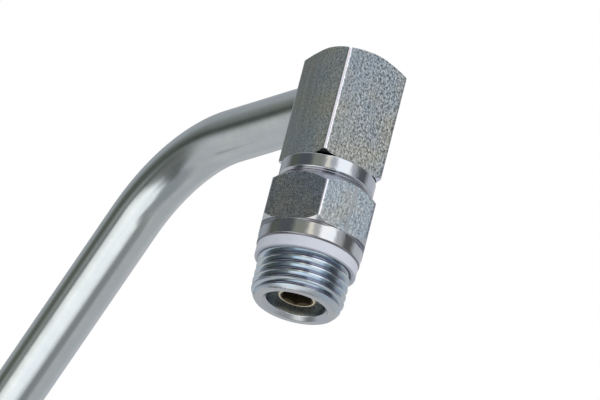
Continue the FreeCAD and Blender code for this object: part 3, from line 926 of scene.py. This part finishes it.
def block_patches(sizes):
    """Skin of the block: spigot hole, foot, four faces with bevels and turned top, and the tube's seat."""
    bar, turned, edge, gap = range(len(BLOCK_FINISHES))
    angles = column_angles(4, TURN / 8, per_side=48, crowding=0.85)
    columns = len(angles)
    flat = BLOCK_HIGH.x
    foot, top = BLOCK_LOW.z, BLOCK_HIGH.z
    corner = flat * math.sqrt(2) - sizes.bevel / math.sqrt(2)
    on_corner = np.arange(8) % 2 == 1
    normals = np.arange(8) * TURN / 8 + np.where(on_corner, sizes.bevel_turn, 0)
    distances = np.where(on_corner, corner, flat)
    side_radius = soft_polygon(angles, normals, distances, sharpness=220)
    foot_radius = corner - sizes.foot_rise / math.tan(sizes.foot_slope)
    wall_foot = foot + np.maximum(side_radius - foot_radius, 0) * math.tan(sizes.foot_slope)
    wall_top = top - np.maximum(side_radius - flat, 0) * math.tan(sizes.top_slope)
    spindle_top = ring_size("hollow_spindle")[3]
    spindle = bpy.context.scene.swivel_spindle
    spigot = spindle.journal_radius + sizes.spindle_room
    tapped = spindle.tip_radius + sizes.spindle_room
    spigot_top = spindle_top - spindle.tip_length
    over_tip, past_riser = 0.5 * MM, 0.4 * MM
    thread_top = spindle_top + over_tip
    riser_top = TUBE_LEVEL + sizes.riser_bore
    drill_point = math.radians(59.0)
    below = [
        (0.0, riser_top + sizes.riser_bore / math.tan(drill_point)),
        (sizes.riser_bore, riser_top),
        (sizes.riser_bore, thread_top),
        (tapped, thread_top),
        (tapped, spigot_top),
        (spigot, spigot_top),
        (spigot, foot),
        (np.minimum(side_radius, foot_radius), foot),
    ]
    wall_rows = 28
    wall = [(side_radius, wall_foot + (wall_top - wall_foot) * i / wall_rows) for i in range(wall_rows + 1)]
    corners = below + wall + [(flat, top), (0.0, top)]
    cone = len(below) - 1
    wall_end = len(below) + wall_rows
    softness = np.zeros(len(corners) - 2)
    softness[:cone] = 0.05 * MM
    softness[cone - 1] = 0.12 * MM
    softness[cone] = 0.1 * MM
    softness[wall_end - 1] = 0.22 * MM
    softness[-1] = 0.12 * MM
    outline, side = softened(outline_of(corners, columns), softness)
    points = about_axis(outline, angles)
    # The opening round the tube's seat, in the face at -X: rows of the wall clear of its ends, and columns
    low_side, high_side, margin, half_width = len(below) + 10, len(below) + 26, 2, math.radians(40.0)
    opening = np.flatnonzero((side >= low_side) & (side < high_side))
    first_row, last_row = opening[0] + margin, opening[-1] + 1 - margin
    first_column, last_column = np.flatnonzero(np.abs(angles - math.pi) < half_width)[[0, -1]]
    keep = np.ones((len(outline) - 1, columns - 1), bool)
    keep[first_row:last_row, first_column:last_column] = False
    # The face towards -Y is the smoothest of the four, the one towards +X the coarsest; the bar finish paints
    # the coarser faces lighter and the smoother ones darker
    grain = 0.65 + 0.5 * np.cos(angles) + 0.25 * np.sin(angles)
    finish_of_side = np.full(len(corners) - 1, bar)
    finish_of_side[:cone] = turned
    # The block's flat underside and foot cone get the gap finish, painted shade
    finish_of_side[cone - 1:cone + 1] = gap
    finish_of_side[wall_end:] = turned
    quad_finish = np.repeat(finish_of_side[side][:, None], columns - 1, axis=1)
    middle = (angles[1:] + angles[:-1]) / 2
    terms = np.cos(middle[:, None] - normals[None, :]) / distances[None, :]
    bevelled = on_corner[terms.argmax(axis=1)]
    # The bevels get the edge finish, a painted highlight
    quad_finish[(quad_finish == bar) & bevelled] = edge
    # Underneath, the foot cone at the corner between -Y and +X keeps that painted shade, and the other three
    # get the edge finish, a painted highlight
    shaded_half_angle = math.radians(25.0)
    quad_finish[np.ix_(side == cone, np.cos(middle + TURN / 8) < math.cos(shaded_half_angle))] = edge
    shell = Patch(points, quad_finish, keep, grain=grain)

    loop = np.concatenate([
        points[first_row, first_column:last_column],
        points[first_row:last_row, last_column],
        points[last_row, last_column:first_column:-1],
        points[last_row:first_row:-1, first_column],
        points[first_row, first_column][None],
    ])
    y, z = loop[:, 1], loop[:, 2] - TUBE_LEVEL
    reach = np.hypot(y, z)
    ways = np.stack([np.zeros_like(y), y / reach, z / reach], axis=-1)
    seat = TUBE_RADIUS + sizes.seat_clearance
    seat_end = sizes.seat_depth - flat
    bore_end = -sizes.riser_bore - past_riser
    chamfer = 0.12 * MM
    # Rings at one radius from the tube's axis, each point in the direction of its point of the opening
    rings = [np.array([x, 0.0, TUBE_LEVEL]) + ways * radius for x, radius in (
        (-flat, seat + chamfer), (chamfer - flat, seat), (seat_end, seat), (seat_end, sizes.cross_bore),
        (bore_end, sizes.cross_bore), (bore_end, 0.0))]
    seat_patch = Patch(np.stack([loop] + rings), [bar] + [turned] * 5, grain=0.6)
    return [shell, seat_patch]


class BlockOperator(bpy.types.Operator):
    """Build the elbow block with its bevels, turned top, spindle hole and tube seat"""
    bl_idname = "swivel_elbow.block"
    bl_label = "Elbow block"

    def execute(self, context):
        piece_from("elbow_block_bar", block_patches(context.scene.swivel_block), BLOCK_FINISHES, "elbow",
                   "elbow_block", sharp=28.0)
        return {"FINISHED"}


# The tube and its braze fillet

def tube_stations(sizes):
    """Places, outward normals and length of the tube's centre line: first leg, bend, second leg."""
    turn = sizes.bend_angle
    tangent = sizes.bend_radius * math.tan(turn / 2)
    face = BLOCK_LOW.x
    start = np.array([TUBE_HIGH.x, 0.0, TUBE_LEVEL])
    corner = np.array([face - sizes.first_leg, 0.0, TUBE_LEVEL])
    bend_start = corner + np.array([tangent, 0.0, 0.0])
    centre = bend_start - np.array([0.0, 0.0, sizes.bend_radius])
    way = np.array([-math.cos(turn), 0.0, -math.sin(turn)])
    end = corner + way * sizes.second_leg
    bend_rows, leg_rows = 61, 12
    swing = np.linspace(0, turn, bend_rows)
    normal = np.stack([-np.sin(swing), np.zeros_like(swing), np.cos(swing)], axis=-1)
    bend = centre + sizes.bend_radius * normal
    leg_steps = np.linspace(0, 1, leg_rows)[:, None]
    first = start + (bend_start - start) * leg_steps[:-1]
    second = bend[-1] + (end - bend[-1]) * leg_steps[1:]
    places = np.concatenate([first, bend, second])
    normals = np.concatenate([normal[:1].repeat(len(first), axis=0), normal,
                              normal[-1:].repeat(len(second), axis=0)])
    bent = np.sin(swing / turn * math.pi) ** 2
    squeeze = np.concatenate([np.zeros(len(first)), bent, np.zeros(len(second))])
    run = np.concatenate([[0], np.cumsum(np.linalg.norm(np.diff(places, axis=0), axis=1))])
    return places, normals, squeeze, run, way


def tube_patch(sizes):
    """Skin of the tube: outside, free rim with both bevels, inside and near rim, closed both ways.

    A point lies at place + radius (cos a (1 - squeeze) normal + sin a (1 + squeeze) Y).
    """
    places, normals, squeeze, run, way = tube_stations(sizes)
    outer = TUBE_RADIUS
    inner = outer - sizes.wall
    cut = sizes.deburr
    count = len(places)
    last = count - 1
    index = np.concatenate([np.arange(count), [last, last], np.arange(count)[::-1], [0]])
    radius = np.repeat([outer, outer - cut, inner + cut, inner, outer], [count, 1, 1, count, 1])
    back = np.zeros(len(index))
    back[[last, last + 3]] = cut
    centres = places[index] - back[:, None] * way
    columns = 97
    around = np.linspace(0, TURN, columns)
    amount = sizes.flattening * squeeze[index][:, None, None]
    in_plane = np.cos(around)[None, :, None] * normals[index][:, None, :] * (1 - amount)
    sideways = np.sin(around)[None, :, None] * np.array([0.0, 1.0, 0.0]) * (1 + amount)
    points = centres[:, None, :] + radius[:, None, None] * (in_plane + sideways)
    uv = np.stack(np.broadcast_arrays(around[None, :] * radius[:, None], run[index][:, None]), axis=-1)
    return Patch(points, 0, uv=uv)


class TubeOperator(bpy.types.Operator):
    """Build the bent tube"""
    bl_idname = "swivel_elbow.tube"
    bl_label = "Bent tube"

    def execute(self, context):
        patch = tube_patch(context.scene.swivel_tube)
        piece_from("bent_tube_drawn", [patch], ("tube_zinc",), "elbow", "bent_tube")
        return {"FINISHED"}


def braze_patch(leg):
    """Hollow fillet round the tube, its leg waved a little round the ring.

    At each angle the section is a quarter circle of the leg's length, hollow towards the open corner
    between the tube and the block's face, and closed along both.
    """
    around = np.linspace(0, TURN, RING_COLUMNS)
    wave = 0.07 * np.sin(3 * around + 0.6) + 0.05 * np.sin(7 * around + 2.1) + 0.03 * np.sin(13 * around)
    fullness, arc_rows = 0.92, 9
    reach = leg * fullness * (1 + wave)
    swing = np.linspace(0, math.pi / 2, arc_rows)[:, None]
    radius = TUBE_RADIUS + reach * (1 - np.sin(swing))
    out = reach * (1 - np.cos(swing))
    corner = np.stack([np.full_like(around, TUBE_RADIUS), np.zeros_like(around)], axis=-1)[None]
    section = np.concatenate([corner, np.stack([radius, out], axis=-1), corner])
    y, z = section[..., 0] * np.cos(around), TUBE_LEVEL + section[..., 0] * np.sin(around)
    return Patch(np.stack([BLOCK_LOW.x - section[..., 1], y, z], axis=-1))


class BrazeOperator(bpy.types.Operator):
    """Build the braze fillet between tube and block"""
    bl_idname = "swivel_elbow.braze"
    bl_label = "Braze fillet"

    def execute(self, context):
        patch = braze_patch(context.scene.swivel_block.braze_leg)
        piece_from("braze_fillet_bead", [patch], ("braze",), "elbow", "braze_fillet", sharp=60.0)
        return {"FINISHED"}


# Studio

def direction(around, up, near):
    """Unit direction at a height and at an angle round the axis from the camera, positive to the right."""
    azimuth = near + around
    parts = np.broadcast_arrays(np.cos(up) * np.cos(azimuth), np.cos(up) * np.sin(azimuth), np.sin(up))
    return np.stack(parts, axis=-1)


def soft_edge(distance, edge, feather):
    """Smooth fall from 1 to 0 about an edge, over two feathers: 1 - (3 t squared - 2 t cubed)."""
    t = np.clip((distance - edge) / (2 * feather) + 0.5, 0, 1)
    return 1 - t * t * (3 - 2 * t)


STUDIO_CENTRE = np.array([0.0, 0.0, 20 * MM])
LAMP_DISTANCE = 0.75
# Lamps: name, angle round the axis from the camera and height in degrees, width, height, colour, brightness
LAMPS = (
    ("soft_box_right", 30, 26, 0.5, 0.6, (1.0, 0.99, 1.0), 1.7),
    ("soft_box_low", -30, -28, 0.6, 0.3, (1.0, 1.0, 1.0), 1.0),
)
TENT_BASE = (0.55, 0.56, 0.58)
# Panels of the studio's tent, each laid over those before it: name, sides, heights and the feather of both
# in degrees, and brightness. Sides are angles round the axis from the camera, positive to the right.
TENT_PANELS = (
    ("ceiling", (-180, 180), (58, 120), (8, 8), (1.0, 1.0, 1.0)),
    ("nadir", (-180, 180), (-120, -66), (8, 6), (0.34, 0.36, 0.39)),
    ("back_right", (100, 180), (-10, 60), (8, 8), (0.62, 0.62, 0.66)),
    ("back_left", (-190, -120), (0, 60), (12, 12), (0.42, 0.44, 0.47)),
    ("left_wall", (-118, -40), (-6, 60), (14, 8), (0.13, 0.14, 0.12)),
    ("left_cool", (-84, -46), (-6, 36), (8, 5), (0.11, 0.116, 0.13)),
    ("left_high", (-124, -48), (36, 60), (10, 5), (0.42, 0.44, 0.46)),
    ("left_shade", (-46, -16), (-2, 38), (10, 5), (0.30, 0.31, 0.28)),
    ("cream_strip", (-13, -2), (-2, 38), (4, 5), (1.05, 1.0, 0.90)),
    ("camera_gap", (0, 11), (-2, 38), (4, 5), (0.62, 0.61, 0.62)),
    ("right_wall", (68.5, 103), (-10, 60), (9, 8), (0.13, 0.135, 0.14)),
    ("high_box", (-44, 54), (39, 80), (7, 4), (1.55, 1.62, 1.72)),
    ("right_box", (13, 50), (-10, 60), (6, 6), (1.42, 1.42, 1.44)),
    ("lens_gap", (-34, 11), (-13, 10), (6, 4), (0.06, 0.06, 0.07)),
    ("low_back", (-180, -104), (-46, -13), (6, 6), (0.60, 0.61, 0.63)),
    ("low_left", (-100, -68), (-74, -2), (8, 8), (0.15, 0.155, 0.15)),
    ("low_shade", (-64, 40), (-66, -56), (8, 4), (0.30, 0.31, 0.33)),
    ("low_box", (-66, 24), (-51, -14), (7, 3), (1.38, 1.38, 1.40)),
    ("low_edge", (-70, -50), (-24, -8), (5, 4), (1.2, 1.2, 1.2)),
    ("low_deep", (-58, -6), (-70, -48), (8, 4), (1.25, 1.25, 1.26)),
    ("leg_light", (-88, -73), (-8, 16), (4, 5), (0.34, 0.35, 0.34)),
    ("leg_dark", (-116, -100), (0, 12), (6, 4), (0.085, 0.09, 0.085)),
    ("camera", (-16, 16), (-31, 0), (5, 4), (0.10, 0.10, 0.11)),
    ("low_right", (28, 72), (-62, -34), (10, 10), (0.30, 0.31, 0.32)),
)


def studio_tent(near, radius):
    """Ball round the part whose panels the metal mirrors. The camera and plain light pass through it.

    Round the axis and in height a panel's share is 1 inside, 0 outside, with the soft edge between.
    """
    rows, columns = 91, 181
    around = np.linspace(-180, 180, columns)[None, :]
    up = np.linspace(-90, 90, rows)[:, None]
    glow = np.broadcast_to(TENT_BASE, (rows, columns, 3))
    for _, (left, right), (low, high), (side_feather, height_feather), values in TENT_PANELS:
        aside = np.abs((around - (left + right) / 2 + 180) % 360 - 180)
        height = np.abs(up - (low + high) / 2)
        part = soft_edge(aside, (right - left) / 2, side_feather)
        part = part * soft_edge(height, (high - low) / 2, height_feather)
        glow = glow + part[..., None] * (np.array(values) - glow)
    points = STUDIO_CENTRE + radius * direction(np.radians(around), np.radians(up), near)
    mesh = bpy.data.meshes.new("tent")
    mesh.from_pydata(points.reshape(-1, 3).tolist(), [], grid_quads(rows, columns).reshape(-1, 4).tolist())
    paint = mesh.color_attributes.new("glow", "FLOAT_COLOR", "POINT")
    paint.data.foreach_set("color", np.insert(glow, 3, 1.0, axis=-1).reshape(-1))
    nodes = Nodes(bpy.data.materials.new("tent"), "OutputMaterial")
    material = nodes.close(nodes.add("Emission", {"Color": nodes.attribute("glow", "Color")}))
    material.cycles.emission_sampling = "NONE"
    mesh.materials.append(material)
    tent = placed("tent", mesh)
    tent.visible_camera = False
    tent.visible_diffuse = False
    tent.visible_shadow = False


def soft_box(near, name, around, up, width, height, values, brightness):
    """Area lamp that faces the part. Its power is four times its area times the brightness that it shows."""
    lamp = bpy.data.lights.new(name, "AREA")
    lamp.shape = "RECTANGLE"
    lamp.size = width
    lamp.size_y = height
    lamp.color = values
    lamp.energy = 4 * width * height * brightness
    way = direction(np.radians(around), np.radians(up), near)
    box = placed(name, lamp)
    box.location = Vector(STUDIO_CENTRE + LAMP_DISTANCE * way)
    box.rotation_mode = "QUATERNION"
    box.rotation_quaternion = Vector(way).to_track_quat("Z", "Y")
    box.visible_camera = False
    box.visible_glossy = False


def studio_world():
    """White for the camera and in reflections, and a softer white for the light that it gives."""
    nodes = Nodes(bpy.data.worlds.new("studio"), "OutputWorld")
    path = nodes.add("LightPath").outputs
    seen = nodes.math("MAXIMUM", path["Is Camera Ray"], path["Is Glossy Ray"])
    seen = nodes.math("MAXIMUM", seen, path["Is Transmission Ray"])
    plain_light = 0.62
    strength = nodes.between(seen, 0.0, 1.0, plain_light, 1.0)
    white = nodes.add("Background", {"Color": (1.0, 1.0, 1.0, 1.0), "Strength": strength})
    bpy.context.scene.world = nodes.close(white)


def studio_floor(level, radius):
    """Plain pale floor, seen from above only."""
    nodes = Nodes(bpy.data.materials.new("floor"), "OutputMaterial")
    side = nodes.add("NewGeometry").outputs["Backfacing"]
    pale = nodes.add("BsdfDiffuse", {"Color": (0.85, 0.85, 0.86, 1.0)}).outputs[0]
    clear = nodes.add("BsdfTransparent").outputs[0]
    corners = 64
    around = np.arange(corners) / corners * TURN
    rim = np.stack([radius * np.cos(around), radius * np.sin(around), np.full_like(around, -level)], axis=-1)
    mesh = bpy.data.meshes.new("floor")
    mesh.from_pydata(rim.tolist(), [], [list(range(len(rim)))])
    mesh.materials.append(nodes.close(nodes.add("MixShader", {0: side, 1: pale, 2: clear})))
    floor = placed("floor", mesh)
    floor.visible_glossy = False


def studio_camera(settings):
    """Long lens that looks up at the part from below, leaning with the picture."""
    near, drop, roll = settings.camera_azimuth, settings.camera_drop, settings.camera_roll
    across = Vector((-math.sin(near), math.cos(near), 0.0))
    towards = Vector((math.cos(drop) * math.cos(near), math.cos(drop) * math.sin(near), -math.sin(drop)))
    axis_up = towards.cross(across)
    aim = settings.aim_up * axis_up - settings.aim_right * across
    right = math.cos(roll) * across + math.sin(roll) * axis_up
    up = math.cos(roll) * axis_up - math.sin(roll) * across
    lens = bpy.data.cameras.new("camera")
    lens.sensor_width = 36.0
    lens.lens = lens.sensor_width * settings.camera_distance / settings.picture_width
    lens.clip_start = 0.05
    lens.clip_end = 30.0
    camera = placed("camera", lens)
    place = aim + towards * settings.camera_distance
    camera.matrix_world = Matrix.Translation(place) @ Matrix((right, up, towards)).transposed().to_4x4()
    bpy.context.scene.camera = camera


class StudioOperator(bpy.types.Operator):
    """Set up the camera, the world, the floor, the ball of panels and the lamps"""
    bl_idname = "swivel_elbow.studio"
    bl_label = "Studio"

    def execute(self, context):
        settings = context.scene.swivel_studio
        context.scene.view_settings.view_transform = "Standard"
        studio_camera(settings)
        studio_world()
        studio_floor(settings.floor_level, settings.floor_radius)
        studio_tent(settings.camera_azimuth, settings.tent_radius)
        for lamp in LAMPS:
            soft_box(settings.camera_azimuth, *lamp)
        return {"FINISHED"}


class StudioPanel(bpy.types.Panel):
    """Buttons and sizes of the swivel elbow"""
    bl_idname = "VIEW3D_PT_swivel_elbow"
    bl_label = "Swivel elbow"
    bl_space_type = "VIEW_3D"
    bl_region_type = "UI"
    bl_category = "Swivel elbow"

    def draw(self, context):
        layout = self.layout
        for operator in OPERATORS:
            layout.operator(operator.bl_idname)
        for name, group in GROUPS.items():
            box = layout.box()
            box.label(text=group.__doc__.rstrip("."))
            for prop in group.__annotations__:
                box.prop(getattr(context.scene, name), prop)


GROUPS = {
    "swivel_adapter": AdapterSizes,
    "swivel_block": BlockSizes,
    "swivel_tube": TubeSizes,
    "swivel_spindle": SpindleSizes,
    "swivel_finishes": FinishColours,
    "swivel_studio": StudioSettings,
}
OPERATORS = (
    StudioOperator,
    FinishOperator,
    AdapterOperator,
    WasherOperator,
    SealsOperator,
    InnerRingsOperator,
    SpindleOperator,
    BlockOperator,
    TubeOperator,
    BrazeOperator,
)
CLASSES = (*GROUPS.values(), *OPERATORS, StudioPanel)


def register():
    """Register the classes and give the scene its settings."""
    for made in CLASSES:
        bpy.utils.register_class(made)
    for name, group in GROUPS.items():
        setattr(bpy.types.Scene, name, PointerProperty(type=group))


def unregister():
    """Take the settings and the classes away again."""
    for name in GROUPS:
        delattr(bpy.types.Scene, name)
    for made in reversed(CLASSES):
        bpy.utils.unregister_class(made)


def main():
    """Build everything in order."""
    register()
    bpy.ops.swivel_elbow.studio()
    bpy.ops.swivel_elbow.finishes()
    bpy.ops.swivel_elbow.adapter()
    bpy.ops.swivel_elbow.washer()
    bpy.ops.swivel_elbow.seals()
    bpy.ops.swivel_elbow.inner_rings()
    bpy.ops.swivel_elbow.spindle()
    bpy.ops.swivel_elbow.block()
    bpy.ops.swivel_elbow.tube()
    bpy.ops.swivel_elbow.braze()


if __name__ == "__main__":
    main()
